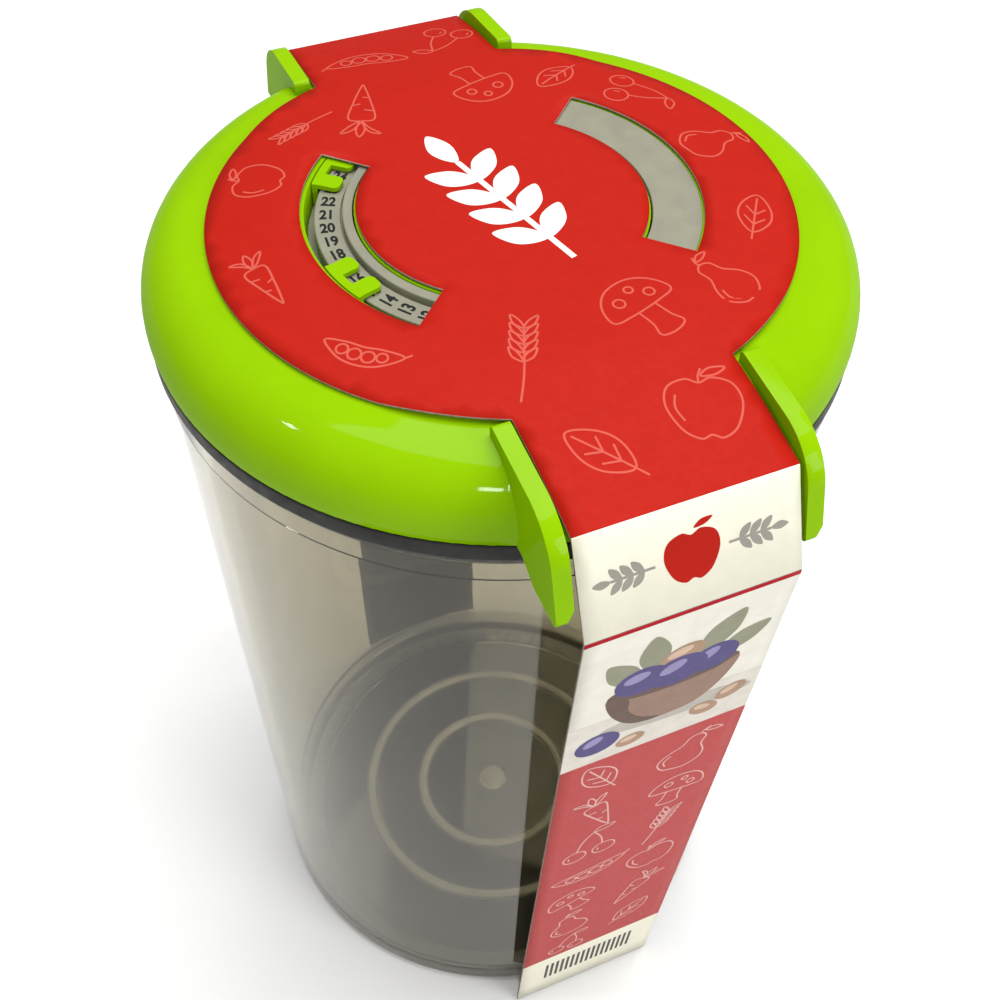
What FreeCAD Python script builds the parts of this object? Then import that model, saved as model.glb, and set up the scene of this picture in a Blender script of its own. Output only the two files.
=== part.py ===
import FreeCAD, Part
import math
import os

# Vacuum canister: clear body, press-on lid with a date dial and a release valve, and a card sleeve.
# Millimetres and degrees. +Z is up, the origin is the centre of the base, the sleeve runs along Y.

# Clear container
base_radius = 55.4
wall_draft = 2.6
container_height = 176.3
container_wall = 2.4
floor_thickness = 2.8
foot_height = 1.2
foot_width = 9.0
foot_slope = 0.8
foot_rounding = 0.5
base_rounding = 4.0
floor_rounding = 5.0
collar_height = 6.6
collar_step = 0.5
rim_rounding = 0.7
floor_ring_radii = (33.0, 19.0)
floor_ring_bead = 1.2
floor_ring_sink = 0.4
gate_mark_radius = 3.6
gate_mark_sink = 2.0

# Lid
gasket_thickness = 2.4
lid_height = 14.4
deck_fall = 2.8
lid_overhang = 1.0
lid_wall = 2.2
lip_band = 2.2
lip_tuck = 0.3
lip_rounding = 0.4
rim_roll = 9.6

# Dial recess, hub and valve well
dial_radius = 32.0
dial_depth = 5.2
hub_radius = 24.0
well_radius = 11.5

# Grip fins, in pairs at both ends of the sleeve
fin_gap = 0.8
fin_thickness = 2.8
fin_start_gap = 1.0
fin_rise = 0.7
fin_fall = 2.0
fin_elbow_reach = 5.2
fin_elbow_rounding = 10.0
fin_reach = 9.6
fin_drop = 2.4
fin_heel_reach = 2.0
fin_heel_rounding = 1.5
fin_top_rounding = 0.8
fin_toe_rounding = 0.8
fin_toe_width = 1.4
fin_toe_height = 2.4

# Lid liner with its skirt and valve seat
liner_thickness = 2.2
liner_gap = 0.5
liner_rounding = 5.0
skirt_depth = 7.8
skirt_thickness = 1.8
shoulder_width = 3.0
vent_radius = 0.9
vent_circle_radius = 5.2
vent_count = 6

# Gasket
gasket_skirt_gap = 0.1
gasket_overhang = 0.4
gasket_lip_depth = 5.2
gasket_mouth_gap = 0.4
gasket_rounding = 0.6

# Release valve
valve_hole_radius = 2.3
valve_stem_gap = 0.3
valve_flap_radius = 8.0
valve_flap_edge = 0.8
valve_flap_height = 1.7
valve_nub_radius = 3.2
valve_neck_radius = 2.5
valve_nub_height = 2.6
valve_nub_rounding = 1.0
valve_travel = 2.0
valve_stop_gap = 0.4
valve_bulb_radius = 3.1
valve_bulb_height = 2.8
valve_bulb_rounding = 1.2

# Date ring and blank plate
dial_fit = 0.3
inner_band_width = 1.6
inner_band_height = 5.2
groove_width = 0.4
groove_depth = 0.5
number_band_width = 4.2
number_band_height = 4.1
slider_track_height = 1.0
dial_rounding = 0.3
plate_span = 92.0
plate_rim = 0.2
plate_lap = 0.3
plate_gap = 0.2

# Day sliders
slider_gap = 0.3
slider_thickness = 0.8
slider_half_width = 4.5
slider_slot_half_width = 1.3
slider_bar_width = 1.4
slider_tip_inset = 0.5
slider_tip_rounding = 1.0
slider_foot_inset = 0.3
number_pitch = 7.0
first_number_angle = -59.1
sealed_day_number = 16
use_by_number = 24

# Card sleeve
card_thickness = 0.5
card_gap = 0.3
card_margin = 2.1
card_lap = 0.3
strap_width = 34.9
shoulder_lead = 1.6
first_fold_reach = 4.8
first_fold_drop = 3.2
second_fold_reach = 11.3
second_fold_drop = 19.4
sleeve_foot_gap = 1.8
sleeve_foot_height = 0.5
crease_gap = 0.2
window_span = 90.0
window_inner_show = 0.3
window_outer_show = 0.6

# Shared
cut_overrun = 2.0
join_tolerance = 1e-6
half_share = 0.5

# Radii and levels worked out from the sizes above
wall_top_radius = base_radius + wall_draft
collar_radius = wall_top_radius + collar_step
mouth_radius = wall_top_radius - container_wall
floor_level = foot_height + floor_thickness
lid_radius = collar_radius + lid_overhang
lip_radius = lid_radius - lip_tuck
lip_level = container_height + gasket_thickness
crest_level = lip_level + lid_height
rim_crest = crest_level - deck_fall
deck_radius = dial_radius + lid_wall
dial_floor = crest_level - dial_depth
seat_level = dial_floor - lid_wall
liner_bottom = seat_level - liner_thickness
liner_radius = lip_radius - lid_wall - liner_gap
skirt_radius = liner_radius - shoulder_width
card_under = crest_level + card_gap
card_top = card_under + card_thickness
card_radius = lid_radius - rim_roll - card_margin
card_fall = deck_fall * (card_radius - deck_radius) / (lid_radius - deck_radius)
card_edge_top = card_top - card_fall
fin_inner = strap_width * half_share + fin_gap
fin_outer = fin_inner + fin_thickness
fin_start = math.sqrt(card_radius ** 2 - fin_inner ** 2) + fin_start_gap
number_outer = hub_radius + dial_fit + inner_band_width + groove_width + number_band_width
number_inner = number_outer - number_band_width
number_level = dial_floor + number_band_height
first_fold = (lid_radius + first_fold_reach, card_edge_top - first_fold_drop)
second_fold = (lid_radius + second_fold_reach, card_edge_top - second_fold_drop)

ORIGIN = FreeCAD.Vector(0, 0, 0)
UP = FreeCAD.Vector(0, 0, 1)
FULL_TURN = 360.0
HALF_TURN = 180.0


# Helpers

def upright(across, up):
    """A point of an outline in the plane of X and Z."""
    return FreeCAD.Vector(across, 0, up)


def sideways(along, up):
    """A point of an outline in the plane of Y and Z."""
    return FreeCAD.Vector(0, along, up)


def flat(across, along):
    """A point of an outline in the plane of X and Y."""
    return FreeCAD.Vector(across, along, 0)


def corner_ends(before, corner, after, place):
    """Start, middle and end of the arc that rounds one corner; all three are the corner if it is sharp."""
    point = place(corner[0], corner[1])
    rounding = corner[2] if len(corner) > 2 else 0
    if rounding == 0:
        return point, point, point
    back = (place(before[0], before[1]) - point).normalize()
    ahead = (place(after[0], after[1]) - point).normalize()
    half_angle = back.getAngle(ahead) / 2
    reach = rounding / math.tan(half_angle)
    depth = rounding / math.sin(half_angle) - rounding
    inward = (back + ahead).normalize()
    return point + back * reach, point + inward * depth, point + ahead * reach


def outline(corners, place):
    """A flat face inside corners (first, second) or (first, second, rounding), in the plane that place gives."""
    count = len(corners)
    arcs = [corner_ends(corners[i - 1], corners[i], corners[(i + 1) % count], place) for i in range(count)]
    edges = []
    for i in range(count):
        start, middle, end = arcs[i]
        following = arcs[(i + 1) % count][0]
        if (end - start).Length > join_tolerance:
            edges.append(Part.Arc(start, middle, end).toShape())
        if (following - end).Length > join_tolerance:
            edges.append(Part.LineSegment(end, following).toShape())
    return Part.Face(Part.Wire(edges))


def turned(corners, start=0, span=FULL_TURN):
    """A solid turned about Z from an outline of (radius, height) corners, from angle start through span."""
    solid = outline(corners, upright).revolve(ORIGIN, UP, span)
    solid.rotate(ORIGIN, UP, start)
    return solid


def ring_block(inner, outer, low, high, start=0, span=FULL_TURN):
    """A plain ring, or a stretch of one."""
    return turned([(inner, low), (outer, low), (outer, high), (inner, high)], start, span)


def across_strap(face, width):
    """An outline in the plane of Y and Z, drawn out to a width centred on that plane."""
    solid = face.extrude(FreeCAD.Vector(width, 0, 0))
    solid.translate(FreeCAD.Vector(-width * half_share, 0, 0))
    return solid


def half_turned(shape):
    """A copy turned half way round the axis."""
    copy = shape.copy()
    copy.rotate(ORIGIN, UP, HALF_TURN)
    return copy


def degrees_along(length, radius):
    """The angle that a length covers on a circle."""
    return math.degrees(length / radius)


# Container

def floor_bead(radius):
    """A round bead moulded on the floor."""
    level = floor_level - floor_ring_sink
    return Part.makeTorus(radius, floor_ring_bead, FreeCAD.Vector(0, 0, level), UP)


def gate_mark():
    """The round moulding mark at the middle of the floor."""
    return Part.makeSphere(gate_mark_radius, FreeCAD.Vector(0, 0, floor_level - gate_mark_sink))


def container_body():
    """The clear moulding: drafted wall, collar, ringed floor and a standing foot."""
    collar_bottom = container_height - collar_height
    foot_inner = base_radius - foot_width
    floor_radius = base_radius - container_wall
    shell = turned([
        (0, foot_height),
        (foot_inner - foot_slope, foot_height, foot_rounding),
        (foot_inner, 0, foot_rounding),
        (base_radius, 0, base_rounding),
        (wall_top_radius, collar_bottom),
        (collar_radius, collar_bottom),
        (collar_radius, container_height, rim_rounding),
        (mouth_radius, container_height, rim_rounding),
        (floor_radius, floor_level, floor_rounding),
        (0, floor_level),
    ])
    marks = [floor_bead(radius) for radius in floor_ring_radii]
    marks.append(gate_mark())
    below = FreeCAD.Vector(0, 0, -cut_overrun)
    below_floor = Part.makeCylinder(floor_radius, floor_level + cut_overrun, below, UP)
    raised = [mark.cut(below_floor) for mark in marks]
    return shell.fuse(raised).removeSplitter()


# Lid shell

def lid_outside():
    """The rolled rim and the deck, which rises to a flat middle, before it is hollowed."""
    return turned([
        (0, lip_level),
        (lip_radius, lip_level, lip_rounding),
        (lid_radius, lip_level + lip_band),
        (lid_radius, rim_crest, rim_roll),
        (deck_radius, crest_level),
        (0, crest_level),
    ])


def lid_cavity():
    """The space under the rim, deck and hub."""
    inner = lip_radius - lid_wall
    under_deck = crest_level - lid_wall
    return turned([
        (0, lip_level - cut_overrun),
        (inner, lip_level - cut_overrun),
        (inner, rim_crest - lid_wall, rim_roll - lid_wall),
        (deck_radius, under_deck),
        (deck_radius, seat_level),
        (hub_radius - lid_wall, seat_level),
        (hub_radius - lid_wall, under_deck),
        (well_radius + lid_wall, under_deck),
        (well_radius + lid_wall, seat_level),
        (0, seat_level),
    ])


def fin_toe_cut():
    """The wedge that bevels one bottom edge of a fin, along the whole fin."""
    toe = lip_level - fin_drop
    face = outline([
        (fin_outer - fin_toe_width, toe),
        (fin_outer, toe - cut_overrun),
        (fin_outer + cut_overrun, toe),
        (fin_outer, toe + fin_toe_height),
    ], upright)
    length = lid_radius + fin_reach + cut_overrun
    return face.extrude(FreeCAD.Vector(0, -length, 0))


def near_fin(side):
    """One fin of the pair at the -Y end; side is -1 or 1 along X."""
    top = crest_level + fin_rise
    elbow = lid_radius + fin_elbow_reach
    toe_reach = lid_radius + fin_reach
    toe = lip_level - fin_drop
    face = outline([
        (-fin_start, lip_level),
        (-fin_start, top, fin_top_rounding),
        (-elbow, top - fin_fall, fin_elbow_rounding),
        (-toe_reach, toe, fin_toe_rounding),
        (-lid_radius - fin_heel_reach, toe, fin_heel_rounding),
        (-lip_radius + fin_heel_reach, lip_level),
    ], sideways)
    plate = face.extrude(FreeCAD.Vector(fin_thickness, 0, 0))
    plate.translate(FreeCAD.Vector(fin_inner, 0, 0))
    plate = plate.cut(fin_toe_cut())
    if side < 0:
        plate.translate(FreeCAD.Vector(-fin_inner - fin_outer, 0, 0))
    return plate


def lid_shell():
    """The green lid moulding with four fins, the dial recess and the opening over the valve."""
    near_fins = [near_fin(-1), near_fin(1)]
    far_fins = [half_turned(fin) for fin in near_fins]
    solid = lid_outside().fuse(near_fins + far_fins)
    above = crest_level + cut_overrun
    recess = turned([
        (hub_radius, dial_floor),
        (dial_radius, dial_floor),
        (dial_radius, above),
        (hub_radius, above),
    ])
    well = Part.makeCylinder(well_radius, above, ORIGIN, UP)
    return solid.cut([lid_cavity(), recess, well]).removeSplitter()


# Lid inside

def vent_hole(index):
    """One air hole under the valve flap."""
    angle = math.radians(FULL_TURN * index / vent_count)
    place = FreeCAD.Vector(
        vent_circle_radius * math.cos(angle),
        vent_circle_radius * math.sin(angle),
        liner_bottom - cut_overrun,
    )
    return Part.makeCylinder(vent_radius, liner_thickness + cut_overrun + cut_overrun, place, UP)


def lid_liner():
    """The plate that closes the lid from below, with the skirt that enters the mouth and the valve seat."""
    skirt_inner = skirt_radius - skirt_thickness
    skirt_end = container_height - skirt_depth
    plate = turned([
        (valve_hole_radius, liner_bottom),
        (skirt_inner, liner_bottom, lid_wall),
        (skirt_inner, skirt_end, rim_rounding),
        (skirt_radius, skirt_end, rim_rounding),
        (skirt_radius, lip_level),
        (liner_radius, lip_level),
        (liner_radius, seat_level, liner_rounding),
        (valve_hole_radius, seat_level),
    ])
    return plate.cut([vent_hole(index) for index in range(vent_count)])


def lid_gasket():
    """The soft ring between lid and rim, with a lip inside the mouth."""
    inner = skirt_radius + gasket_skirt_gap
    outer = collar_radius + gasket_overhang
    lip_outer = mouth_radius - gasket_mouth_gap
    lip_end = container_height - gasket_lip_depth
    return turned([
        (inner, lip_end),
        (lip_outer, lip_end, gasket_rounding),
        (lip_outer, container_height),
        (outer, container_height, gasket_rounding),
        (outer, lip_level, gasket_rounding),
        (inner, lip_level),
    ])


def valve_plug():
    """The silicone valve: pull nub, flap over the vents, stem through the seat and a bulb that keeps it in."""
    stem = valve_hole_radius - valve_stem_gap
    flap_top = seat_level + valve_flap_height
    nub_top = flap_top + valve_nub_height
    bulb_top = liner_bottom - valve_travel - valve_stop_gap
    bulb_end = bulb_top - valve_bulb_height
    return turned([
        (0, bulb_end),
        (valve_bulb_radius, bulb_end, valve_bulb_rounding),
        (valve_bulb_radius, bulb_top),
        (stem, bulb_top),
        (stem, seat_level),
        (valve_flap_radius, seat_level),
        (valve_flap_radius, seat_level + valve_flap_edge),
        (valve_neck_radius, flap_top),
        (valve_nub_radius, nub_top, valve_nub_rounding),
        (0, nub_top),
    ])


# Dial

def date_ring():
    """The grey ring in the recess: raised inner band, groove, number band and slider track."""
    inner = hub_radius + dial_fit
    groove_start = inner + inner_band_width
    outer = dial_radius - dial_fit
    band_top = dial_floor + inner_band_height
    track = dial_floor + slider_track_height
    corners = [
        (inner, dial_floor),
        (outer, dial_floor),
        (outer, track),
        (number_outer, track),
        (number_outer, number_level, dial_rounding),
        (number_inner, number_level),
        (number_inner, number_level - groove_depth),
        (groove_start, number_level - groove_depth),
        (groove_start, band_top, dial_rounding),
        (inner, band_top),
    ]
    return turned(corners, plate_span * half_share, FULL_TURN - plate_span)


def blank_plate():
    """The plain plate that fills the rest of the recess, with a thin rim that laps over the lid."""
    inner = hub_radius + dial_fit
    outer = dial_radius - dial_fit
    top = crest_level + plate_rim
    span = plate_span - degrees_along(plate_gap, inner) * 2
    start = -span * half_share
    block = ring_block(inner, outer, dial_floor, top, start, span)
    rim = ring_block(outer, dial_radius + plate_lap, crest_level, top, start, span)
    return block.fuse(rim).removeSplitter()


def number_angle(number):
    """The angle of a day number about Z, from +X."""
    return first_number_angle - number_pitch * (number - 1)


def prong(side):
    """The flat outline of one slider prong, with a rounded tip; side is -1 or 1 along the ring."""
    tip = number_inner + slider_tip_inset
    return outline([
        (tip, side * slider_slot_half_width, slider_tip_rounding),
        (number_outer, side * slider_slot_half_width),
        (number_outer, side * slider_half_width),
        (tip, side * slider_half_width, slider_tip_rounding),
    ], flat)


def day_slider(number):
    """A marker with two prongs that frame one day number, and a foot that runs in the track."""
    low = number_level + slider_gap
    outer = dial_radius - slider_foot_inset
    span = degrees_along(slider_half_width * 2, number_outer)
    bar = ring_block(outer - slider_bar_width, outer, low, low + slider_thickness, -span * half_share, span)
    prongs = []
    for side in (-1, 1):
        solid = prong(side).extrude(FreeCAD.Vector(0, 0, slider_thickness))
        solid.translate(FreeCAD.Vector(0, 0, low))
        prongs.append(solid)
    foot = ring_block(
        number_outer + slider_gap,
        outer,
        dial_floor + slider_track_height + slider_gap,
        low,
        -span * half_share,
        span,
    )
    solid = bar.fuse(prongs + [foot]).removeSplitter()
    solid.rotate(ORIGIN, UP, number_angle(number))
    return solid


# Card sleeve

def step_along(start, end, length):
    """The point a length along the way from start to end, in two numbers."""
    reach = math.hypot(end[0] - start[0], end[1] - start[1])
    share = length / reach
    return start[0] + (end[0] - start[0]) * share, start[1] + (end[1] - start[1]) * share


def inner_side(path, thickness):
    """The path moved to its right by a thickness, with mitred corners."""
    moved = []
    for i in range(len(path)):
        steps = [pair for pair in ((i - 1, i), (i, i + 1)) if pair[0] >= 0 and pair[1] < len(path)]
        normals = []
        for first, second in steps:
            along = FreeCAD.Vector(path[second][0] - path[first][0], path[second][1] - path[first][1], 0).normalize()
            normals.append(FreeCAD.Vector(along.y, -along.x, 0))
        bisector = (normals[0] + normals[-1]).normalize()
        shift = bisector * (thickness / bisector.dot(normals[0]))
        moved.append((path[i][0] + shift.x, path[i][1] + shift.y))
    return moved


def card_strip(path):
    """A strip of card whose upper side follows a path of (along Y, height) points."""
    under = inner_side(path, card_thickness)
    return across_strap(outline(path + under[::-1], sideways), strap_width)


def sleeve_window(start):
    """The cutter for one curved window over the dial."""
    return ring_block(
        hub_radius - window_inner_show,
        dial_radius + window_outer_show,
        card_under - cut_overrun,
        card_top + cut_overrun,
        start,
        window_span,
    )


def card_disc():
    """The card's disc, which follows the deck: flat in the middle and falling to its edge."""
    return turned([
        (0, card_under),
        (deck_radius, card_under),
        (card_radius, card_under - card_fall),
        (card_radius, card_edge_top),
        (deck_radius, card_top),
        (0, card_top),
    ])


def short_panels():
    """The two panels that leave the disc's edge and fold down past the rim."""
    shoulder = (lid_radius - rim_roll + shoulder_lead, card_edge_top)
    end = step_along(second_fold, first_fold, crease_gap)
    half = [shoulder, first_fold, end]
    path = [(-y, z) for y, z in reversed(half)] + half
    inside = Part.makeCylinder(card_radius - card_lap, card_top + cut_overrun, ORIGIN, UP)
    return card_strip(path).cut(inside)


def sleeve_top():
    """The card's disc on the lid with its two windows and the two short panels."""
    solid = card_disc().fuse(short_panels())
    windows = [sleeve_window(-window_span * half_share), sleeve_window(HALF_TURN - window_span * half_share)]
    return solid.cut(windows).removeSplitter()


def sleeve_back():
    """The long panel from the lower crease to the foot, on the +Y side."""
    foot = (base_radius + sleeve_foot_gap + card_thickness, sleeve_foot_height)
    start = step_along(second_fold, foot, crease_gap)
    return card_strip([start, foot])


def sleeve_front():
    """The long panel on the -Y side."""
    return half_turned(sleeve_back())


NODES = {
    "container_body": container_body,
    "lid_shell": lid_shell,
    "lid_liner": lid_liner,
    "lid_gasket": lid_gasket,
    "valve_plug": valve_plug,
    "date_ring": date_ring,
    "blank_plate": blank_plate,
    "sealed_day_slider": lambda: day_slider(sealed_day_number),
    "use_by_slider": lambda: day_slider(use_by_number),
    "sleeve_top": sleeve_top,
    "sleeve_front": sleeve_front,
    "sleeve_back": sleeve_back,
}


def main():
    os.makedirs("parts", exist_ok=True)
    for name, make in NODES.items():
        make().exportStep(os.path.join("parts", name + ".step"))


main()
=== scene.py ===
import math

import bmesh
import bpy
from bpy.props import FloatProperty, FloatVectorProperty, IntProperty, PointerProperty
from mathutils import Matrix, Vector
from mathutils.geometry import delaunay_2d_cdt


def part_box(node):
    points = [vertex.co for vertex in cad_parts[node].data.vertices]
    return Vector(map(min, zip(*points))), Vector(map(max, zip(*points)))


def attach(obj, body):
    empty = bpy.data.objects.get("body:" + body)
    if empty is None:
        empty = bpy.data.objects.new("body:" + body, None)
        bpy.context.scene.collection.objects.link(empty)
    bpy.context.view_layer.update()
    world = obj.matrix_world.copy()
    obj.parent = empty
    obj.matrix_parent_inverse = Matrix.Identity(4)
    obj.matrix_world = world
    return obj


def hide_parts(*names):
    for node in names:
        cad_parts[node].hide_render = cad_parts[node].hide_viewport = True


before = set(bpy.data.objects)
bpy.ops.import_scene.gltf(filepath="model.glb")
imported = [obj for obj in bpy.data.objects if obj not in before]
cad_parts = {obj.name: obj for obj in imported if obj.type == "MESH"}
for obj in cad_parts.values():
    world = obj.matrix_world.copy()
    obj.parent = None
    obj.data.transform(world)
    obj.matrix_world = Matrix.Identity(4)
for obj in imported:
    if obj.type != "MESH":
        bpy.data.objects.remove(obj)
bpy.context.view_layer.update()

bl_info = {
    "name": "Vacuum canister",
    "version": (1, 0, 0),
    "blender": (4, 5, 0),
    "location": "View3D > Sidebar > Canister",
    "description": "Dresses a clear vacuum canister with its lid, date dial and printed card sleeve",
    "category": "Add Mesh",
}

# Upper corners of the CAD nodes that pieces are fitted to
CARD_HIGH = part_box("sleeve_top")[1]
PANEL_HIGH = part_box("sleeve_front")[1]
RING_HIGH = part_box("date_ring")[1]
GASKET_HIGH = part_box("lid_gasket")[1]
BODY_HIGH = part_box("container_body")[1]

# Ends of the strap: the sign of Y, a word for names, and the body of the long panel
FRONT = -1
BACK = 1
STRAP_ENDS = ((FRONT, "front", "front_panel"), (BACK, "back", "back_panel"))
UP = Vector((0, 0, 1))

# Noise in the finishes: how fine it is, and the middle part of its range that tone and gloss use
PATCH_DETAIL = 4
GRAIN_DETAIL = 3
STREAKS_TO_A_PATCH = 3
TONE_RANGE = (0.35, 0.65)
GLOSS_RANGE = (0.3, 0.7)

# Sockets of a Mix node that blends colours, by number because their names repeat
MIX_TINT = 6
MIX_TONE = 7
MIX_RESULT = 2

# Raised rings and gate mark of the container's floor in metres; a core is the share of one that is fully
# frosted and painted pale as a highlight
FLOOR_LEVEL = 0.0040
FLOOR_RING_RADII = (0.033, 0.019)
FLOOR_BEAD_HALF = 0.0019
FLOOR_BEAD_CORE = 0.35
GATE_MARK_RADIUS = 0.0044
GATE_MARK_CORE = 0.7
# What full frosting and painted highlight leave of the clearness, and the frosting's roughness
FROST_AND_HIGHLIGHT_CLARITY = 0.12
FROST_ROUGHNESS = 0.35

# Soft edges of the mouldings; the weld is a part of their width
EDGE_SEGMENTS = 3
EDGE_WELD_PART = 200
SHARP_ANGLE = math.radians(35)

# Gasket's soft edge: the shape and steps of its section, and how it tucks into the ring
BEAD_SQUARENESS = 0.4
BEAD_SIDES = 20
BEAD_STEPS = 180
BEAD_INSET = 0.25
BEAD_TUCK = 0.1

# Day numbers: the band's drop in metres, the steps of a curve, and parts of the type's size
NUMBER_BAND_DROP = 0.0011
NUMERAL_STEPS = 4
NUMERAL_DEPTH_PART = 200
NUMERAL_LIFT_PART = 150

# Mesh of the card: lengths in metres, counts of steps, and the long panels' step as a share of half the strap
CARD_CLEARANCE = 0.0001
SHEET_STEP = 0.0024
ARC_STEP = math.radians(1.5)
COLUMNS = 12
FOLD_STEPS = 8
PANEL_STEP = 0.5
# Parts of the card's thickness at which its sheet is cut and joined
SHEET_CUT_PART = 1000
SHEET_WELD_PART = 50

# Ink: the step along a line in metres, the steps of a curve, and shares and parts of the ink's lift
INK_STEP = 0.0008
LINE_STEPS = 6
LAYER_SHARE = 0.1
INK_PART = 2
PICTURE_INK_PART = 4


# Settings that a user would change

def length(name, description, default):
    """A length property in metres."""
    return FloatProperty(name=name, description=description, default=default, unit="LENGTH", precision=5)


def angle(name, description, degrees):
    """An angle property, given in degrees."""
    return FloatProperty(name=name, description=description, default=math.radians(degrees), subtype="ANGLE")


def colour(name, description, default):
    """A linear colour property."""
    return FloatVectorProperty(
        name=name, description=description, default=default, subtype="COLOR", min=0, max=1)


def path_corner(name, description, default):
    """A place on the strap's path, as reach from the axis and height in metres."""
    return FloatVectorProperty(name=name, description=description, default=default, size=2, unit="LENGTH")


def amount(name, description, default):
    """A number property without a unit."""
    return FloatProperty(name=name, description=description, default=default)


def power(name, description, default):
    """A lamp's power property in watts."""
    return FloatProperty(name=name, description=description, default=default, unit="POWER")


class CanisterFinish(bpy.types.PropertyGroup):
    """Colours and soft edges of the mouldings."""

    green: colour("Lid green", "Lime green of the lid and the day sliders", (0.195, 0.385, 0.0008))
    # The clear tint is the plastic's faint smoke plus painted shade: darkened and warmed to stand in for dark
    # surroundings seen through the body.
    clear: colour("Clear plastic", "Tint of the clear body", (0.57, 0.54, 0.43))
    # The thick floor's deeper tint is partly the thicker plastic and partly painted shade for the shaded
    # table seen through the floor.
    deep: colour("Deep plastic", "Tint of the thick floor", (0.31, 0.285, 0.20))
    # The pale colour of the frosted beads is partly painted highlight, standing in for the highlights the
    # beads catch.
    frost: colour("Frost", "Pale frost on the floor beads", (1.0, 0.98, 0.90))
    gasket: colour("Gasket", "Dark silicone of the sealing ring", (0.014, 0.014, 0.013))
    liner: colour("Liner", "Pale plastic under the lid", (0.55, 0.56, 0.53))
    valve: colour("Valve", "Grey silicone of the release valve", (0.12, 0.12, 0.12))
    dial: colour("Dial", "Matt grey of the date ring and the plate", (0.192, 0.187, 0.133))
    ink: colour("Dial ink", "Black of the day numbers", (0.012, 0.012, 0.012))
    edge_softness: length("Edge softness", "Width of the rounding on moulded edges", 0.0004)
    bead_reach: length("Bead reach", "How far the gasket's soft edge stands out past its ring", 0.0004)
    bead_hang: length("Bead hang", "How far the gasket's soft edge hangs over the collar", 0.0009)


class CanisterDial(bpy.types.PropertyGroup):
    """Day numbers on the date ring."""

    count: IntProperty(name="Days", description="How many numbers the ring carries", default=31)
    first: angle("First number", "Angle of number one about the axis, from +X", -59.1)
    pitch: angle("Pitch", "Angle from one number to the next, clockwise", 7.0)
    reach: length("Number circle", "Radius of the circle through the numbers", 0.0284)
    level: length("Number level", "Height of the number band", RING_HIGH.z - NUMBER_BAND_DROP)
    size: length("Number size", "Height of the type", 0.0024)
    weight: length("Number weight", "How much the strokes are thickened", 0.000085)
    tall: amount("Number stretch", "How much taller the type is drawn", 1.34)


class CanisterCard(bpy.types.PropertyGroup):
    """Sizes and colours of the card sleeve."""

    thickness: length("Thickness", "Thickness of the card", 0.0004)
    disc_radius: length("Disc radius", "Radius of the card's disc", CARD_HIGH.x)
    half_width: length("Half strap", "Half the width of the strap", PANEL_HIGH.x)
    top: length("Top level", "Height of the card's upper side in the middle", CARD_HIGH.z - CARD_CLEARANCE)
    flat_radius: length("Flat radius", "Radius of the flat middle of the disc", 0.0342)
    fall: length("Fall", "How far the disc falls from its middle to its edge", 0.0015)
    edge_slope: amount("Edge slope", "Slope of the card at the disc's edge", 0.13)
    root_end: length("Root end", "Reach at which the strap stops bending across", 0.0540)
    seam: length("Sheet reach", "How far the curved sheet runs before the first fold", 0.0600)
    fold_bend: length("Fold bend", "Radius of the creased folds", 0.0008)
    first_fold: path_corner("First fold", "Reach and height of the fold at the rim", (0.0643, 0.18915))
    second_fold: path_corner("Second fold", "Reach and height of the lower crease", (0.07078, 0.17299))
    foot: path_corner("Foot", "Reach and height of the card's lower edge", (0.0577, 0.0005))
    crease_gap: length("Crease gap", "Room between the panels at the lower crease", 0.00008)
    window_inner: length("Window inside", "Inner radius of the two windows", 0.0237)
    window_outer: length("Window outside", "Outer radius of the two windows", 0.0326)
    window_span: angle("Window span", "Angle that each window covers", 90)
    rule_end: length("Rule", "Width of the dark rule under the crease", 0.0011)
    picture_end: length("Picture end", "Where the pale picture ends, from the crease", 0.0420)
    red_end: length("Red end", "Where the lower red ends, from the crease", 0.1480)
    line_width: length("Line width", "Width of the drawn lines", 0.00034)
    ink_lift: length("Ink lift", "Height of the printed ink above the card", 0.00002)
    red: colour("Red", "Printed red", (0.345, 0.0088, 0.0036))
    # The lower red is printed red whitened with painted sheen, standing in for the glare the long panels show
    # at a grazing angle.
    lower_red: colour("Lower red", "Printed red of the long panels", (0.40, 0.062, 0.060))
    rule: colour("Rule red", "Dark red of the rule", (0.32, 0.008, 0.016))
    ivory: colour("Ivory", "Unprinted coated card", (0.74, 0.72, 0.595))
    picture: colour("Picture ground", "Pale ground of the picture", (0.66, 0.645, 0.57))
    # The board is darkened a little as painted shade, so the card's cut edges read as shaded.
    board: colour("Board", "Grey board at the cut edges and inside", (0.24, 0.20, 0.165))
    line: colour("Line", "Pale lines drawn on the red", (0.46, 0.078, 0.056))
    panel_line: colour("Panel line", "Pale lines drawn on the lower red", (0.60, 0.34, 0.32))
    white: colour("White", "White shapes on the red", (0.66, 0.65, 0.60))
    grey: colour("Grey", "Grey shapes on the ivory", (0.24, 0.23, 0.20))
    plum: colour("Plum", "Purple of the picture", (0.085, 0.070, 0.18))
    bloom: colour("Bloom", "Pale bloom on the plums", (0.25, 0.22, 0.38))
    nut: colour("Nut", "Brown of the picture", (0.34, 0.22, 0.15))
    shell: colour("Shell", "Light side of the nuts", (0.52, 0.38, 0.28))
    bowl: colour("Bowl", "Wooden bowl of the picture", (0.25, 0.165, 0.125))
    hollow: colour("Hollow", "Shaded side and inside of the bowl", (0.125, 0.085, 0.07))
    table: colour("Table", "Table of the picture", (0.58, 0.545, 0.49))
    shadow: colour("Shadow", "Soft shadow on the table", (0.40, 0.37, 0.33))
    foliage: colour("Foliage", "Leaves of the picture", (0.24, 0.24, 0.17))
    bar: colour("Bars", "Dark bars on the foot", (0.07, 0.065, 0.06))


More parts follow.
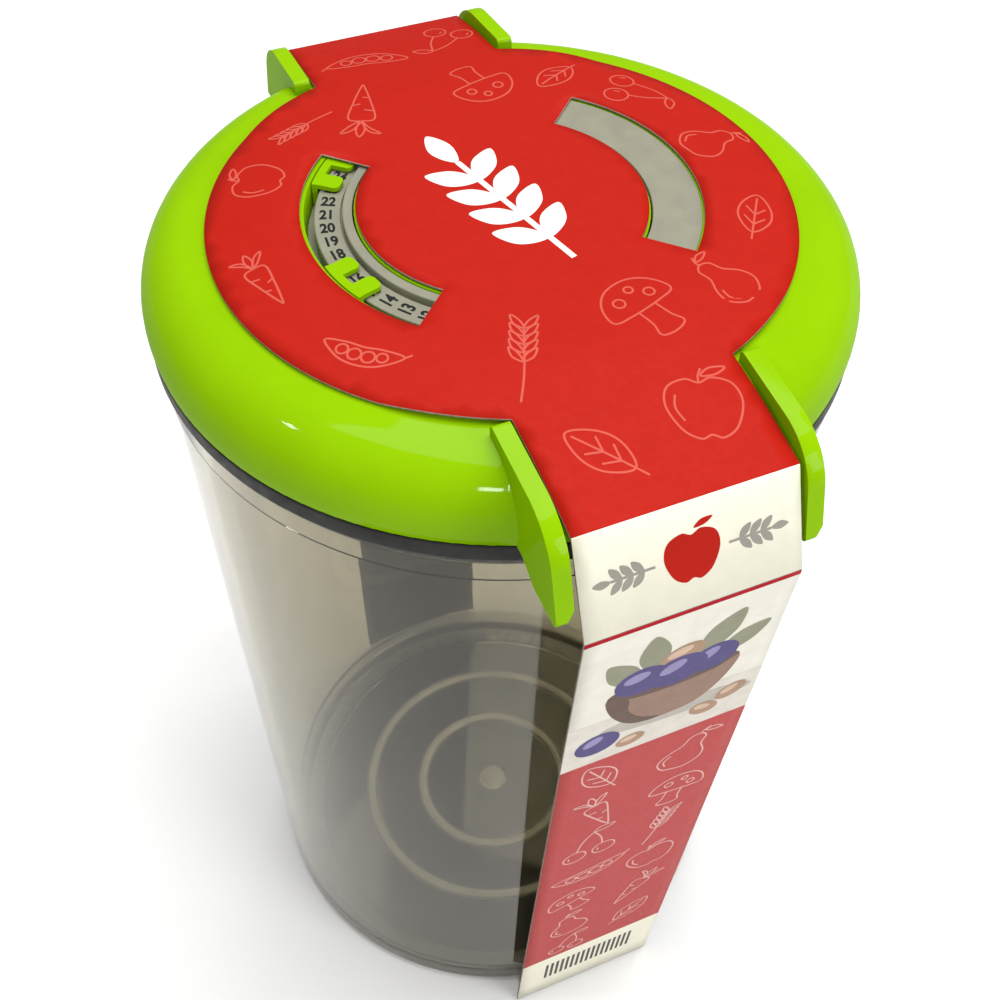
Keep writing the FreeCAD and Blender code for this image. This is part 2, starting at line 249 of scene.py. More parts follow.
class CanisterStage(bpy.types.PropertyGroup):
    """Camera, light and floor."""

    lens: FloatProperty(
        name="Lens", description="Focal length on a 36 mm wide sensor", default=46.43,
        subtype="DISTANCE_CAMERA")
    distance: length("Distance", "Camera's distance from the canister's axis", 0.17168)
    height: length("Height", "Camera's height above the floor", 0.32105)
    azimuth: angle("Azimuth", "Where the camera stands round the axis, from -Y towards -X", 23.611)
    heading: angle("Heading", "Where the camera looks, from +Y towards -X", -23.8)
    pitch: angle("Pitch", "How far the camera looks down", 49.611)
    roll: angle("Roll", "How far the camera leans", 1.152)
    floor: colour("Floor", "Pale floor", (0.74, 0.74, 0.74))
    sky: colour("Sky", "Soft light from all round", (1.0, 1.0, 1.0))
    sky_strength: amount("Sky strength", "Strength of the soft light", 0.30)
    key_power: power("Key", "Power of the large light overhead", 83.0)
    fill_power: power("Fill", "Power of the soft light in front", 6.0)
    lamp_power: power("Lamp", "Power of the small lamp near the camera", 1.8)


# Materials: all from noise in object coordinates, so nothing depends on a picture

def shade(tone, factor):
    """A colour made darker or lighter, with alpha."""
    return tuple(min(channel * factor, 1) for channel in tone) + (1,)


def noise(nodes, links, scale, detail, stretch=(1, 1, 1)):
    """The output of a noise texture with that many features to a metre."""
    place = nodes.new("ShaderNodeTexCoord")
    mapping = nodes.new("ShaderNodeMapping")
    mapping.inputs["Scale"].default_value = stretch
    texture = nodes.new("ShaderNodeTexNoise")
    texture.inputs["Scale"].default_value = scale
    texture.inputs["Detail"].default_value = detail
    links.new(place.outputs["Object"], mapping.inputs["Vector"])
    links.new(mapping.outputs["Vector"], texture.inputs["Vector"])
    return texture.outputs["Fac"]


def spread_ramp(nodes, links, source, low, high):
    """A colour ramp over the middle of a noise, from one colour to another."""
    ramp = nodes.new("ShaderNodeValToRGB")
    for stop, position, tone in zip(ramp.color_ramp.elements, TONE_RANGE, (low, high)):
        stop.position = position
        stop.color = tone
    links.new(source, ramp.inputs["Fac"])
    return ramp.outputs["Color"]


def stepped(nodes, links, value, low, high, start, end):
    """A value brought from one range to another and held at its ends."""
    node = nodes.new("ShaderNodeMapRange")
    links.new(value, node.inputs["Value"])
    for name, bound in (("From Min", low), ("From Max", high), ("To Min", start), ("To Max", end)):
        node.inputs[name].default_value = bound
    return node.outputs["Result"]


def surface(name, tone, wander, patch, gloss, grain, depth, stretch=(1, 1, 1), **sockets):
    """A principled material: its colour wanders in patches, its gloss in streaks, and a fine grain lifts it.

    wander is the share that the colour varies by, patch and grain count features to a metre,
    gloss is the lowest and highest roughness, and depth is the height of the grain in metres.
    """
    material = bpy.data.materials.new(name)
    material.use_nodes = True
    nodes = material.node_tree.nodes
    links = material.node_tree.links
    shader = nodes["Principled BSDF"]
    patches = noise(nodes, links, patch, PATCH_DETAIL, stretch)
    tones = spread_ramp(nodes, links, patches, shade(tone, 1 - wander), shade(tone, 1 + wander))
    links.new(tones, shader.inputs["Base Color"])
    streaks = noise(nodes, links, patch * STREAKS_TO_A_PATCH, GRAIN_DETAIL, stretch)
    links.new(stepped(nodes, links, streaks, *GLOSS_RANGE, *gloss), shader.inputs["Roughness"])
    bump = nodes.new("ShaderNodeBump")
    bump.inputs["Distance"].default_value = depth
    links.new(noise(nodes, links, grain, GRAIN_DETAIL, stretch), bump.inputs["Height"])
    links.new(bump.outputs["Normal"], shader.inputs["Normal"])
    for socket, value in sockets.items():
        shader.inputs[socket.replace("_", " ")].default_value = value
    return material


def sums(nodes, links, operation, *values):
    """One arithmetic node over plain numbers and sockets."""
    node = nodes.new("ShaderNodeMath")
    node.operation = operation
    for socket, value in zip(node.inputs, values):
        if isinstance(value, bpy.types.NodeSocket):
            links.new(value, socket)
        else:
            socket.default_value = value
    return node.outputs["Value"]


def blended(nodes, links, share, tint, tone):
    """A tint that gives way to a plain tone."""
    node = nodes.new("ShaderNodeMix")
    node.data_type = "RGBA"
    links.new(share, node.inputs["Factor"])
    links.new(tint, node.inputs[MIX_TINT])
    node.inputs[MIX_TONE].default_value = (*tone, 1)
    return node.outputs[MIX_RESULT]


def frost_beads(material, finish):
    """Frosts the raised rings and the gate mark of the container's floor and paints them pale as a highlight,
    and deepens the floor's tint as painted shade.
    """
    nodes = material.node_tree.nodes
    links = material.node_tree.links
    shader = nodes["Principled BSDF"]
    apart = nodes.new("ShaderNodeSeparateXYZ")
    links.new(nodes.new("ShaderNodeTexCoord").outputs["Object"], apart.inputs["Vector"])
    square = [sums(nodes, links, "MULTIPLY", apart.outputs[axis], apart.outputs[axis]) for axis in "XY"]
    radius = sums(nodes, links, "SQRT", sums(nodes, links, "ADD", *square))
    frost = stepped(nodes, links, radius, GATE_MARK_RADIUS * GATE_MARK_CORE, GATE_MARK_RADIUS, 1, 0)
    for ring in FLOOR_RING_RADII:
        offset = sums(nodes, links, "ABSOLUTE", sums(nodes, links, "SUBTRACT", radius, ring))
        bead = stepped(nodes, links, offset, FLOOR_BEAD_HALF * FLOOR_BEAD_CORE, FLOOR_BEAD_HALF, 1, 0)
        frost = sums(nodes, links, "MAXIMUM", frost, bead)
    upper = stepped(nodes, links, apart.outputs["Z"], FLOOR_LEVEL - FLOOR_BEAD_HALF, FLOOR_LEVEL, 0, 1)
    frost = sums(nodes, links, "MULTIPLY", frost, upper)
    # Painted highlight: the beads lose most of their clearness and show their pale frosted colour.
    links.new(stepped(nodes, links, frost, 0, 1, 1, FROST_AND_HIGHLIGHT_CLARITY), shader.inputs["Transmission Weight"])
    polish = shader.inputs["Roughness"].links[0].from_socket
    rough = sums(nodes, links, "MULTIPLY", frost, FROST_ROUGHNESS)
    links.new(sums(nodes, links, "MAXIMUM", polish, rough), shader.inputs["Roughness"])
    tint = shader.inputs["Base Color"].links[0].from_socket
    # Painted shade: the thick floor takes the darker tint, standing in for the shaded table seen through it.
    thick = stepped(nodes, links, apart.outputs["Z"], FLOOR_LEVEL, FLOOR_LEVEL + FLOOR_BEAD_HALF, 1, 0)
    tint = blended(nodes, links, thick, tint, finish.deep)
    # The pale frosted colour over the beads is painted highlight.
    links.new(blended(nodes, links, frost, tint, finish.frost), shader.inputs["Base Color"])


def clear_plastic(finish):
    """Polished clear plastic with a faint smoky tint, darkened and warmed as painted shade for the dark
    surroundings seen through it, and slow moulding waves.
    """
    material = surface(
        "clear_plastic", finish.clear, wander=0.02, patch=30, gloss=(0.01, 0.035), grain=40, depth=0.000006,
        IOR=1.37)
    frost_beads(material, finish)
    return material


def green_plastic(finish):
    """Glossy lime green plastic with a slight orange peel."""
    return surface(
        "green_plastic", finish.green, wander=0.04, patch=45, gloss=(0.22, 0.30), grain=900, depth=0.000004,
        IOR=1.50, Specular_IOR_Level=0, Coat_Weight=0.13, Coat_Roughness=0.05)


def gasket_rubber(finish):
    """Dark silicone with a dusty bloom."""
    return surface(
        "gasket_rubber", finish.gasket, wander=0.25, patch=140, gloss=(0.42, 0.60), grain=2600, depth=0.00001,
        Specular_IOR_Level=0.2)


def liner_plastic(finish):
    """Satin pale plastic."""
    return surface(
        "liner_plastic", finish.liner, wander=0.03, patch=50, gloss=(0.30, 0.42), grain=1800, depth=0.000005)


def valve_silicone(finish):
    """Soft grey silicone."""
    return surface(
        "valve_silicone", finish.valve, wander=0.10, patch=160, gloss=(0.40, 0.55), grain=2600, depth=0.00001)


def dial_grey(name, finish):
    """Matt grey plastic with a sanded grain."""
    return surface(name, finish.dial, wander=0.06, patch=220, gloss=(0.42, 0.58), grain=5200, depth=0.000018)


def dial_ink(finish):
    """Black ink, a little worn."""
    return surface(
        "dial_ink", finish.ink, wander=0.3, patch=900, gloss=(0.55, 0.75), grain=6000, depth=0.000004,
        Specular_IOR_Level=0.1)


def coated_card(name, tone, wander=0.025):
    """Printed and coated card: fine fibres under a satin coat."""
    return surface(
        name, tone, wander, patch=320, gloss=(0.50, 0.62), grain=2400, depth=0.000008, stretch=(1, 1.4, 1),
        Specular_IOR_Level=0.07)


def grey_board(card):
    """Bare recycled board with fibres, darkened a little as painted shade on the cut edges."""
    return surface(
        "grey_board", card.board, wander=0.18, patch=700, gloss=(0.75, 0.9), grain=3200, depth=0.00004,
        stretch=(1, 3, 1))


def floor_paint(stage):
    """Pale seamless floor."""
    return surface(
        "floor_paint", stage.floor, wander=0.008, patch=6, gloss=(0.55, 0.7), grain=220, depth=0.00005)


def dress(node, material):
    """Gives a CAD node's object its finish."""
    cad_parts[node].material_slots[0].material = material


def soften(node, width):
    """Rounds a CAD node's sharp edges with a narrow bevel."""
    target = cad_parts[node]
    weld = target.modifiers.new("weld", "WELD")
    weld.merge_threshold = width / EDGE_WELD_PART
    bevel = target.modifiers.new("soft_edges", "BEVEL")
    bevel.width = width
    bevel.segments = EDGE_SEGMENTS
    bevel.limit_method = "ANGLE"
    bevel.angle_limit = SHARP_ANGLE
    bevel.harden_normals = True


# Building pieces

def finished_piece(name, bm, materials, body):
    """Turns a bmesh into a piece that rides a body."""
    mesh = bpy.data.meshes.new(name)
    bm.to_mesh(mesh)
    bm.free()
    for material in materials:
        mesh.materials.append(material)
    piece = bpy.data.objects.new(name, mesh)
    bpy.context.scene.collection.objects.link(piece)
    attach(piece, body)
    return piece


def thicken(piece, thickness, slot_offset):
    """Gives a sheet thickness below its drawn side; the offset takes back and edges to the last material."""
    solidify = piece.modifiers.new("thickness", "SOLIDIFY")
    solidify.thickness = thickness
    solidify.offset = -1
    solidify.use_even_offset = True
    solidify.material_offset = slot_offset
    solidify.material_offset_rim = slot_offset


def face_towards(bm, direction):
    """Turns every face so that its front looks along a direction."""
    bm.normal_update()
    for face in bm.faces:
        if face.normal.dot(direction) < 0:
            face.normal_flip()


# The strap's path from the disc to the floor

def rounded_path(corners):
    """Points through (reach, height, bend) corners, where each inner corner is a smooth bend."""
    points = [Vector(corners[0][:2])]
    for before, corner, after in zip(corners, corners[1:], corners[2:]):
        here = Vector(corner[:2])
        back = (Vector(before[:2]) - here).normalized()
        ahead = (Vector(after[:2]) - here).normalized()
        reach = corner[2] / math.tan(back.angle(ahead) / 2)
        start = here + back * reach
        end = here + ahead * reach
        for step in range(FOLD_STEPS + 1):
            t = step / FOLD_STEPS
            points.append(start * (1 - t) ** 2 + here * (2 * t * (1 - t)) + end * t ** 2)
    points.append(Vector(corners[-1][:2]))
    return points


def reaches(path):
    """The distance of each point of a path from its start."""
    total = 0.0
    found = [total]
    for first, second in zip(path, path[1:]):
        total += (second - first).length
        found.append(total)
    return found


def along(path, distance):
    """The point and the outward normal at a distance along a path."""
    left = distance
    for first, second in zip(path, path[1:]):
        step = (second - first).length
        if left <= step or second is path[-1]:
            way = (second - first) / step
            return first + way * left, Vector((-way.y, way.x))
        left -= step


class Strap:
    """One end of the strap: turns (across, down the strap) into a point of the card's outer side."""

    def __init__(self, path, side):
        self.path = path
        self.side = side

    def place(self, across, down, lift=0.0):
        """The point at a distance across and down the strap, lifted off the card."""
        point, normal = along(self.path, down)
        point = point + normal * lift
        return Vector((-self.side * across, self.side * point.x, point.y))


def profile(card, reach):
    """Height of the card's upper side along a line from the middle to the first fold."""
    edge = card.top - card.fall
    run = card.disc_radius - card.flat_radius
    if reach <= card.flat_radius:
        return card.top
    if reach <= card.disc_radius:
        t = (reach - card.flat_radius) / run
        return card.top - card.fall * (3 * t ** 2 - 2 * t ** 3) + card.edge_slope * run * (t ** 2 - t ** 3)
    beyond = reach - card.disc_radius
    run = card.first_fold[0] - card.disc_radius
    rest = edge - card.first_fold[1] - card.edge_slope * run
    return edge - card.edge_slope * beyond - rest * (beyond / run) ** 2


def sheet_height(card, across, ahead):
    """Height of the card's upper side: domed on the disc, bent one way only on the strap."""
    keep = (card.root_end - abs(ahead)) / (card.root_end - card.flat_radius)
    keep = min(max(keep, 0), 1)
    return profile(card, math.hypot(across * keep, ahead))


def shoulder_path(card):
    """From the end of the curved sheet, over the first fold and down to the lower crease."""
    end = Vector(card.second_fold)
    end += (Vector(card.first_fold) - end).normalized() * card.crease_gap
    return rounded_path([
        (card.seam, profile(card, card.seam), 0),
        (*card.first_fold, card.fold_bend),
        (*end, 0),
    ])


def panel_path(card):
    """From the lower crease to the foot."""
    start = Vector(card.second_fold)
    foot = Vector(card.foot)
    start += (foot - start).normalized() * card.crease_gap
    return [start, foot]


def fold_reach(card):
    """How far down the shoulder path the first fold lies."""
    path = shoulder_path(card)
    nearest = min(path, key=lambda point: (point - Vector(card.first_fold)).length)
    return reaches(path)[path.index(nearest)]


def spaced(stops, step):
    """The stops in order, with even steps between them no longer than a length."""
    rows = [stops[0]]
    for first, second in zip(stops, stops[1:]):
        count = max(1, math.ceil((second - first) / step))
        rows += [first + (second - first) * i / count for i in range(1, count + 1)]
    return rows


def column_places(card):
    """Even places across the strap."""
    return [card.half_width * (2 * i / COLUMNS - 1) for i in range(COLUMNS + 1)]


def strip(bm, strap, columns, rows, zone_of):
    """A grid of card along a strap; zone_of gives each row's material slot from its middle."""
    grid = [[bm.verts.new(strap.place(across, down)) for across in columns] for down in rows]
    for row in range(len(rows) - 1):
        zone = zone_of((rows[row] + rows[row + 1]) / 2)
        upper = grid[row]
        lower = grid[row + 1]
        for column in range(len(columns) - 1):
            face = bm.faces.new((upper[column], upper[column + 1], lower[column + 1], lower[column]))
            face.material_index = zone
            face.smooth = True


def arc(radius, start, end):
    """Points of an arc about the axis, from one angle to another."""
    count = max(2, math.ceil(abs(end - start) / ARC_STEP))
    turns = [start + (end - start) * i / count for i in range(count + 1)]
    return [Vector((radius * math.cos(turn), radius * math.sin(turn))) for turn in turns]


def strap_side(across, start, end):
    """Points along one side of the strap, between its ends."""
    count = math.ceil(abs(end - start) / SHEET_STEP)
    return [Vector((across, start + (end - start) * i / count)) for i in range(1, count)]


def sheet_outline(card):
    """The outer edge of the top sheet: the disc and both strap roots."""
    meet = math.acos(card.half_width / card.disc_radius)
    root = card.disc_radius * math.sin(meet)
    width = card.half_width
    columns = column_places(card)
    points = arc(card.disc_radius, -meet, meet)
    points += strap_side(width, root, card.seam)
    points += [Vector((across, card.seam)) for across in reversed(columns)]
    points += strap_side(-width, card.seam, root)
    points += arc(card.disc_radius, math.pi - meet, math.pi + meet)
    points += strap_side(-width, -root, -card.seam)
    points += [Vector((across, -card.seam)) for across in columns]
    points += strap_side(width, -card.seam, -root)
    return points


def window_outline(card, middle):
    """One curved window over the dial."""
    half = card.window_span / 2
    outer = arc(card.window_outer, middle - half, middle + half)
    return outer + arc(card.window_inner, middle + half, middle - half)


def on_sheet(card, point, margin=0.0):
    """Whether a place is on the top sheet, and further than a margin from its edges."""
    reach = point.length
    on_disc = reach < card.disc_radius - margin
    on_strap = abs(point.x) < card.half_width - margin and abs(point.y) < card.seam - margin
    off_axis = math.atan2(abs(point.y), abs(point.x)) * reach
    in_window = (card.window_inner - margin < reach < card.window_outer + margin
                 and off_axis < card.window_span / 2 * reach + margin)
    return (on_disc or on_strap) and not in_window


def inner_places(card):
    """Places on the sheet in staggered rows, so that it can follow the deck."""
    rows = math.ceil(card.seam / SHEET_STEP)
    places = []
    for row in range(-rows, rows + 1):
        for column in range(-rows, rows + 1):
            place = Vector(((column + row % 2 / 2) * SHEET_STEP, row * SHEET_STEP))
            if on_sheet(card, place, SHEET_STEP / 2):
                places.append(place)
    return places


def curved_sheet(bm, card):
    """The disc with its two windows and the strap roots, as one sheet of small triangles."""
    places = []
    edges = []
    for ring in [sheet_outline(card)] + [window_outline(card, middle) for middle in (0, math.pi)]:
        first = len(places)
        places += ring
        edges += [(first + i, first + (i + 1) % len(ring)) for i in range(len(ring))]
    places += inner_places(card)
    places, _, triangles, *_ = delaunay_2d_cdt(places, edges, [], 0, card.thickness / SHEET_CUT_PART)
    corners = [bm.verts.new((place.x, place.y, sheet_height(card, place.x, place.y))) for place in places]
    for triangle in triangles:
        middle = sum((places[i] for i in triangle), Vector((0, 0))) / len(triangle)
        if on_sheet(card, middle):
            face = bm.faces.new([corners[i] for i in triangle])
            face.smooth = True
    bmesh.ops.delete(bm, geom=[corner for corner in corners if not corner.link_faces], context="VERTS")


# Line drawings of garden produce, in shares of each drawing's half size; True closes a line

def ring_shares(across, up, radius, count=10):
    """A small circle."""
    turns = [math.tau * i / count for i in range(count)]
    return [(across + radius * math.cos(turn), up + radius * math.sin(turn)) for turn in turns], True


def mirrored(right):
    """The points of a closed line that is the same on both sides, from those of its right side."""
    return right + [(-across, up) for across, up in reversed(right) if across]


APPLE_SHARES = [
    (mirrored([(0, 0.62), (0.30, 0.74), (0.72, 0.55), (0.84, 0.05), (0.60, -0.55), (0.25, -0.80),
               (0, -0.72)]), True),
    ([(0, 0.60), (0.02, 0.80), (0.12, 1.0)], False),
    ([(0.08, 0.80), (0.30, 1.0), (0.66, 1.0), (0.42, 0.82)], True),
    ([(-0.58, 0.34), (-0.64, 0.0), (-0.50, -0.34)], False),
]
PEAR_SHARES = [
    (mirrored([(0, 0.80), (0.26, 0.64), (0.32, 0.24), (0.62, -0.18), (0.68, -0.60), (0.38, -0.95),
               (0, -1.0)]), True),
    ([(0, 0.80), (0.02, 0.97), (0.14, 1.14)], False),
    ([(0.06, 0.96), (0.30, 1.10), (0.60, 1.0), (0.30, 0.90)], True),
    ([(-0.44, -0.22), (-0.52, -0.52), (-0.34, -0.78)], False),
]
CARROT_SHARES = [
    (mirrored([(0, 0.52), (0.30, 0.42), (0.20, -0.25), (0.03, -1.0)]), True),
    ([(-0.26, 0.12), (-0.05, 0.07)], False),
    ([(0.22, -0.12), (0.04, -0.18)], False),
    ([(-0.15, -0.44), (0, -0.48)], False),
    ([(0, 0.52), (-0.16, 0.76), (-0.44, 1.02), (-0.16, 0.92)], True),
    ([(0, 0.52), (-0.08, 0.86), (0.04, 1.14), (0.12, 0.86)], True),
    ([(0, 0.52), (0.20, 0.88), (0.46, 1.0), (0.26, 0.72)], True),
]
MUSHROOM_SHARES = [
    (mirrored([(0.30, 0.86), (0.72, 0.54), (0.86, 0.04), (0.40, -0.06)]), True),
    ([(-0.24, -0.06), (-0.26, -0.50), (-0.34, -0.82), (0, -0.92), (0.34, -0.82), (0.26, -0.50),
      (0.24, -0.06)], False),
    ring_shares(-0.34, 0.40, 0.13),
    ring_shares(0.12, 0.58, 0.10),
    ring_shares(0.42, 0.26, 0.12),
]
LEAF_SHARES = [
    (mirrored([(0, 1.0), (0.42, 0.45), (0.44, -0.20), (0, -0.75)]), True),
    ([(0, 0.85), (0, -1.08)], False),
    ([(0, -0.40), (0.30, -0.06)], False),
    ([(0, -0.40), (-0.30, -0.06)], False),
    ([(0, 0.05), (0.28, 0.38)], False),
    ([(0, 0.05), (-0.28, 0.38)], False),
]
PEA_POD_SHARES = [
    (mirrored([(0, -0.38), (0.55, -0.26), (1.05, 0.16), (0.52, 0.24), (0, 0.20)]), True),
    ([(1.05, 0.16), (1.20, 0.30)], False),
    ring_shares(-0.52, 0, 0.15),
    ring_shares(-0.17, -0.07, 0.17),
    ring_shares(0.19, -0.07, 0.17),
    ring_shares(0.53, 0, 0.14),
]
CHERRY_SHARES = [
    ring_shares(-0.48, -0.50, 0.36, count=14),
    ring_shares(0.44, -0.62, 0.36, count=14),
    ([(-0.40, -0.16), (-0.12, 0.50), (0.25, 0.92)], False),
    ([(0.42, -0.28), (0.42, 0.30), (0.25, 0.92)], False),
    ([(0.25, 0.92), (0.50, 1.12), (0.90, 1.0), (0.58, 0.84)], True),
    ([(-0.66, -0.40), (-0.68, -0.58)], False),
    ([(0.26, -0.52), (0.24, -0.70)], False),
]


# Ear of wheat: pairs of grains, the height of the first and the step to the next
GRAIN_PAIRS = 5
FIRST_GRAIN = -0.15
GRAIN_PITCH = 0.22


def wheat_shares():
    """An ear of wheat: a stalk and pairs of grains."""
    strokes = [([(0, -1.1), (0.04, -0.4), (0, 0.75)], False)]
    for step in range(GRAIN_PAIRS):
        up = FIRST_GRAIN + GRAIN_PITCH * step
        for lean in (-1, 1):
            grain = [(0.01, up), (lean * 0.20, up + 0.12), (lean * 0.26, up + 0.36), (lean * 0.08, up + 0.20)]
            strokes.append((grain, True))
    return strokes


WHEAT_SHARES = wheat_shares()


# Ink on the card

def ink_height(card, layer):
    """Height of a layer of ink above the card; each layer lies a little higher than the last."""
    return card.ink_lift * (1 + LAYER_SHARE * layer)


def smooth_line(points, closed):
    """A soft curve through a few points; each span is led by its own two ends and the point beyond each."""
    count = len(points)
    if count < 3:
        return [Vector(point) for point in points]
    spans = count if closed else count - 1
    curve = []
    for i in range(spans):
        near = [k % count if closed else min(max(k, 0), count - 1) for k in range(i - 1, i + 3)]
        p0, p1, p2, p3 = (Vector(points[k]) for k in near)
        for step in range(LINE_STEPS):
            t = step / LINE_STEPS
            curve.append((p1 * 2 + (p2 - p0) * t + (p0 * 2 - p1 * 5 + p2 * 4 - p3) * t ** 2
                          + (p1 * 3 - p0 - p2 * 3 + p3) * t ** 3) / 2)
    if not closed:
        curve.append(Vector(points[-1]))
    return curve


def set_down(line, place, size, turn):
    """A drawn line scaled, turned and moved to its place on the card."""
    spin = Matrix.Rotation(turn, 2)
    return [Vector(place) + spin @ (point * size) for point in line]


def finer(line, closed, step):
    """A line with more points, so that it can follow the card."""
    points = []
    for first, second in zip(line, line[1:] + line[:1] if closed else line[1:]):
        count = max(1, math.ceil((second - first).length / step))
        points += [first + (second - first) * i / count for i in range(count)]
    return points if closed else points + [line[-1]]


def ribbon(bm, line, closed, width, lay, layer=0, slot=0):
    """A narrow band of ink along a line; lay puts a flat point on the card, at a layer of ink."""
    count = len(line)
    pairs = []
    for i, point in enumerate(line):
        before = line[i - 1] if closed or i > 0 else point
        after = line[(i + 1) % count] if closed or i < count - 1 else point
        way = (after - before).normalized()
        side = Vector((-way.y, way.x)) * (width / 2)
        pairs.append((bm.verts.new(lay(point + side, layer)), bm.verts.new(lay(point - side, layer))))
    for i in range(count if closed else count - 1):
        first, second = pairs[i], pairs[(i + 1) % count]
        face = bm.faces.new((first[0], first[1], second[1], second[0]))
        face.material_index = slot


def filled(bm, line, lay, layer=0, slot=0):
    """A filled shape of ink inside a line."""
    face = bm.faces.new([bm.verts.new(lay(point, layer)) for point in line])
    face.material_index = slot
    bmesh.ops.triangulate(bm, faces=[face])


def drawing(bm, shares, place, size, turn, width, lay):
    """One line drawing, laid on the card, with each stroke on its own layer."""
    for layer, (points, closed) in enumerate(shares):
        line = set_down(smooth_line(points, closed), place, size, turn)
        ribbon(bm, finer(line, closed, INK_STEP), closed, width, lay, layer)


# Drawings on the disc: place and size as shares of the disc's radius, and degrees of turn
DISC_DRAWINGS = [
    (PEAR_SHARES, (0.84, 0.06), 0.120, -75),
    (LEAF_SHARES, (0.76, -0.38), 0.120, -35),
    (CHERRY_SHARES, (0.74, 0.45), 0.125, -120),
    (CARROT_SHARES, (-0.86, -0.08), 0.125, 12),
    (APPLE_SHARES, (-0.73, 0.43), 0.110, 60),
    (PEA_POD_SHARES, (-0.68, -0.52), 0.125, -42),
    (MUSHROOM_SHARES, (0.20, -0.66), 0.150, 20),
    (WHEAT_SHARES, (-0.24, -0.72), 0.165, -25),
    (APPLE_SHARES, (0.19, -1.08), 0.140, -15),
    (LEAF_SHARES, (-0.16, -1.13), 0.130, 40),
    (PEAR_SHARES, (0.50, -0.63), 0.115, 30),
    (CARROT_SHARES, (-0.26, 0.70), 0.160, 160),
    (MUSHROOM_SHARES, (0.20, 0.70), 0.140, 195),
    (PEA_POD_SHARES, (-0.12, 1.06), 0.150, 170),
    (CHERRY_SHARES, (0.22, 1.10), 0.120, 150),
    (LEAF_SHARES, (0.50, 0.65), 0.115, 120),
    (WHEAT_SHARES, (-0.49, 0.68), 0.120, 110),
]
# Drawings down a long panel: across and size as shares of half the strap, down as a share of the lower red
PANEL_DRAWINGS = [
    (LEAF_SHARES, (-0.52, 0.075), 0.36, 30),
    (PEAR_SHARES, (0.46, 0.095), 0.38, -20),
    (CARROT_SHARES, (-0.44, 0.225), 0.42, 20),
    (MUSHROOM_SHARES, (0.48, 0.255), 0.38, -10),
    (CHERRY_SHARES, (-0.46, 0.375), 0.38, 10),
    (WHEAT_SHARES, (0.42, 0.410), 0.44, -15),
    (PEA_POD_SHARES, (-0.36, 0.520), 0.44, 12),
    (APPLE_SHARES, (0.48, 0.570), 0.36, 15),
    (MUSHROOM_SHARES, (-0.48, 0.660), 0.36, 25),
    (CARROT_SHARES, (0.40, 0.730), 0.42, -30),
    (PEAR_SHARES, (-0.46, 0.805), 0.36, 10),
    (LEAF_SHARES, (0.44, 0.880), 0.36, -40),
    (CHERRY_SHARES, (-0.40, 0.935), 0.30, 0),
]


def disc_lay(card):
    """Lays points of the disc, and of the strap's red as far as the first fold."""
    ends = {side: Strap(shoulder_path(card), side) for side in (FRONT, BACK)}

    def lay(point, layer):
        lift = ink_height(card, layer)
        if abs(point.y) < card.seam:
            return Vector((point.x, point.y, sheet_height(card, point.x, point.y) + lift))
        side = FRONT if point.y < 0 else BACK
        return ends[side].place(-side * point.x, abs(point.y) - card.seam, lift)

    return lay


def strap_lay(card, strap):
    """Lays points given across and up a strap panel, where up runs against the way down."""
    return lambda point, layer: strap.place(point.x, -point.y, ink_height(card, layer))


def card_piece(name, bm, materials, body, direction, thickness):
    """A piece of card or ink that rides the sleeve or a panel, with its last material on its back."""
    face_towards(bm, direction)
    piece = finished_piece(name, bm, materials, body)
    thicken(piece, thickness, len(materials))
    return piece


def make_sleeve_top(card, materials):
    """The disc with its windows and the two short panels."""
    bm = bmesh.new()
    curved_sheet(bm, card)
    path = shoulder_path(card)
    fold = fold_reach(card)
    rows = sorted(set(reaches(path)))
    columns = column_places(card)
    for side in (FRONT, BACK):
        strip(bm, Strap(path, side), columns, rows, lambda down: 0 if down < fold else 1)
    bmesh.ops.remove_doubles(bm, verts=bm.verts, dist=card.thickness / SHEET_WELD_PART)
    piece = card_piece("card_top", bm, materials, "sleeve", UP, card.thickness)
    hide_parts("sleeve_top")


def make_panel(card, materials, side, name, body, node):
    """One long panel with its printed zones."""
    path = panel_path(card)
    total = reaches(path)[-1]
    stops = [0, card.rule_end, card.picture_end, card.red_end, total]

    def zone_of(down):
        return sum(down > stop for stop in stops[1:-1])

    bm = bmesh.new()
    strip(bm, Strap(path, side), column_places(card), spaced(stops, card.half_width * PANEL_STEP), zone_of)
    piece = card_piece(name, bm, materials, body, Vector((0, side, 0)), card.thickness)
    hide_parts(node)


def make_disc_lines(card, material):
    """The line drawings on the disc and the red of the strap."""
    bm = bmesh.new()
    lay = disc_lay(card)
    for shares, place, size, turn in DISC_DRAWINGS:
        spot = Vector(place) * card.disc_radius
        drawing(bm, shares, spot, size * card.disc_radius, math.radians(turn), card.line_width, lay)
    card_piece("disc_drawings", bm, [material], "sleeve", UP, card.ink_lift / INK_PART)


def make_panel_lines(card, material, side, name, body):
    """The line drawings on a long panel's red."""
    bm = bmesh.new()
    lay = strap_lay(card, Strap(panel_path(card), side))
    height = card.red_end - card.picture_end
    for shares, place, size, turn in PANEL_DRAWINGS:
        spot = Vector((place[0] * card.half_width, -card.picture_end - place[1] * height))
        drawing(bm, shares, spot, size * card.half_width, math.radians(turn), card.line_width, lay)
    card_piece(name, bm, [material], body, Vector((0, side, 0)), card.ink_lift / INK_PART)


SPRIG_LEAF_SHARES = [(0, 0), (0.26, 0.20), (0.62, 0.24), (1.0, 0), (0.62, -0.20), (0.26, -0.16)]
LEAF_LEAN = math.radians(48)
# The white sprig, in shares of the disc's radius
DISC_SPRIG_FOOT = Vector((0.10, -0.36))
DISC_SPRIG_TIP = Vector((-0.06, 0.26))
DISC_SPRIG_PAIRS = 4
DISC_SPRIG_LEAF = 0.19
DISC_SPRIG_STEM = 0.022
